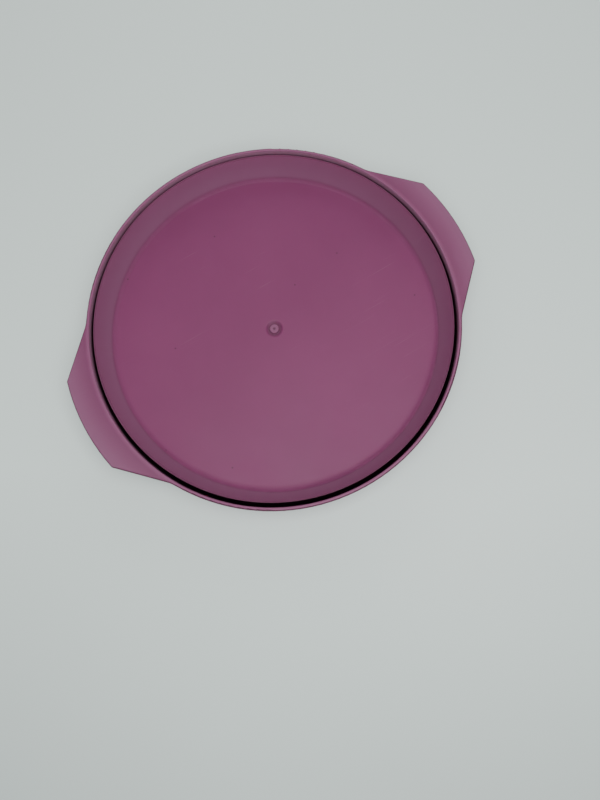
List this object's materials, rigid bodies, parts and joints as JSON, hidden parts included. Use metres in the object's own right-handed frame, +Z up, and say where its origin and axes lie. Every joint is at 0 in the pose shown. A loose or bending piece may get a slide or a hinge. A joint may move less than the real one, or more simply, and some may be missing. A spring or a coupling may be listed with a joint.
{
  "type": "cake turntable",
  "caption": "Round cake turntable: a shallow dish that spins on a ball race inside a low tray with flat handles.",
  "frame": {"origin": "on the table, on the turning axis, under the middle of the dish", "axes": "+Z up along the turning axis, +X out along one handle, +Y across the handles"},
  "size_m": [0.3618, 0.32, 0.0415],
  "materials": {
    "tray_plastic": "moulded, faintly translucent",
    "dish_plastic": "moulded, faintly translucent",
    "cage_plastic": "moulded",
    "bush_plastic": "moulded",
    "washer_steel": "zinc plated",
    "screw_steel": "zinc plated",
    "cap_plastic": "moulded",
    "ball_steel": "polished",
    "foot_rubber": "matt"
  },
  "bodies": {
    "base": {"base_tray": "tray_plastic", "pivot_bush": "bush_plastic", "pivot_cap": "cap_plastic", "foot_1": "foot_rubber", "foot_2": "foot_rubber", "foot_3": "foot_rubber", "foot_4": "foot_rubber", "foot_5": "foot_rubber", "foot_6": "foot_rubber"},
    "turntable": {"turntable_dish": "dish_plastic", "pivot_washer": "washer_steel", "pivot_screw": "screw_steel"},
    "cage": {"ball_cage": "cage_plastic"},
    "roller_01": {"ball_01": "ball_steel"},
    "roller_02": {"ball_02": "ball_steel"},
    "roller_03": {"ball_03": "ball_steel"},
    "roller_04": {"ball_04": "ball_steel"},
    "roller_05": {"ball_05": "ball_steel"},
    "roller_06": {"ball_06": "ball_steel"},
    "roller_07": {"ball_07": "ball_steel"},
    "roller_08": {"ball_08": "ball_steel"},
    "roller_09": {"ball_09": "ball_steel"},
    "roller_10": {"ball_10": "ball_steel"},
    "roller_11": {"ball_11": "ball_steel"},
    "roller_12": {"ball_12": "ball_steel"}
  },
  "joints": [
    {"name": "dish_spin", "type": "hinge", "parent": "base", "child": "turntable", "pos_m": [0, 0, 0.0135], "axis": [0, 0, 1], "continuous": true},
    {"name": "cage_spin", "type": "hinge", "parent": "base", "child": "cage", "pos_m": [0, 0, 0.0106], "axis": [0, 0, 1], "continuous": true},
    {"name": "ball_01_roll", "type": "hinge", "parent": "cage", "child": "roller_01", "pos_m": [0.1, 0, 0.0106], "axis": [1, 0, 0], "continuous": true},
    {"name": "ball_02_roll", "type": "hinge", "parent": "cage", "child": "roller_02", "pos_m": [0.0866, 0.05, 0.0106], "axis": [0.866, 0.5, 0], "continuous": true},
    {"name": "ball_03_roll", "type": "hinge", "parent": "cage", "child": "roller_03", "pos_m": [0.05, 0.0866, 0.0106], "axis": [0.5, 0.866, 0], "continuous": true},
    {"name": "ball_04_roll", "type": "hinge", "parent": "cage", "child": "roller_04", "pos_m": [0, 0.1, 0.0106], "axis": [0, 1, 0], "continuous": true},
    {"name": "ball_05_roll", "type": "hinge", "parent": "cage", "child": "roller_05", "pos_m": [-0.05, 0.0866, 0.0106], "axis": [-0.5, 0.866, 0], "continuous": true},
    {"name": "ball_06_roll", "type": "hinge", "parent": "cage", "child": "roller_06", "pos_m": [-0.0866, 0.05, 0.0106], "axis": [-0.866, 0.5, 0], "continuous": true},
    {"name": "ball_07_roll", "type": "hinge", "parent": "cage", "child": "roller_07", "pos_m": [-0.1, 0, 0.0106], "axis": [-1, 0, 0], "continuous": true},
    {"name": "ball_08_roll", "type": "hinge", "parent": "cage", "child": "roller_08", "pos_m": [-0.0866, -0.05, 0.0106], "axis": [-0.866, -0.5, 0], "continuous": true},
    {"name": "ball_09_roll", "type": "hinge", "parent": "cage", "child": "roller_09", "pos_m": [-0.05, -0.0866, 0.0106], "axis": [-0.5, -0.866, 0], "continuous": true},
    {"name": "ball_10_roll", "type": "hinge", "parent": "cage", "child": "roller_10", "pos_m": [0, -0.1, 0.0106], "axis": [0, -1, 0], "continuous": true},
    {"name": "ball_11_roll", "type": "hinge", "parent": "cage", "child": "roller_11", "pos_m": [0.05, -0.0866, 0.0106], "axis": [0.5, -0.866, 0], "continuous": true},
    {"name": "ball_12_roll", "type": "hinge", "parent": "cage", "child": "roller_12", "pos_m": [0.0866, -0.05, 0.0106], "axis": [0.866, -0.5, 0], "continuous": true}
  ],
  "couplings": [
    {"joint": "cage_spin", "follows": "dish_spin", "ratio": 0.5},
    {"joint": "ball_01_roll", "follows": "dish_spin", "ratio": -16.667},
    {"joint": "ball_02_roll", "follows": "dish_spin", "ratio": -16.667},
    {"joint": "ball_03_roll", "follows": "dish_spin", "ratio": -16.667},
    {"joint": "ball_04_roll", "follows": "dish_spin", "ratio": -16.667},
    {"joint": "ball_05_roll", "follows": "dish_spin", "ratio": -16.667},
    {"joint": "ball_06_roll", "follows": "dish_spin", "ratio": -16.667},
    {"joint": "ball_07_roll", "follows": "dish_spin", "ratio": -16.667},
    {"joint": "ball_08_roll", "follows": "dish_spin", "ratio": -16.667},
    {"joint": "ball_09_roll", "follows": "dish_spin", "ratio": -16.667},
    {"joint": "ball_10_roll", "follows": "dish_spin", "ratio": -16.667},
    {"joint": "ball_11_roll", "follows": "dish_spin", "ratio": -16.667},
    {"joint": "ball_12_roll", "follows": "dish_spin", "ratio": -16.667}
  ]
}
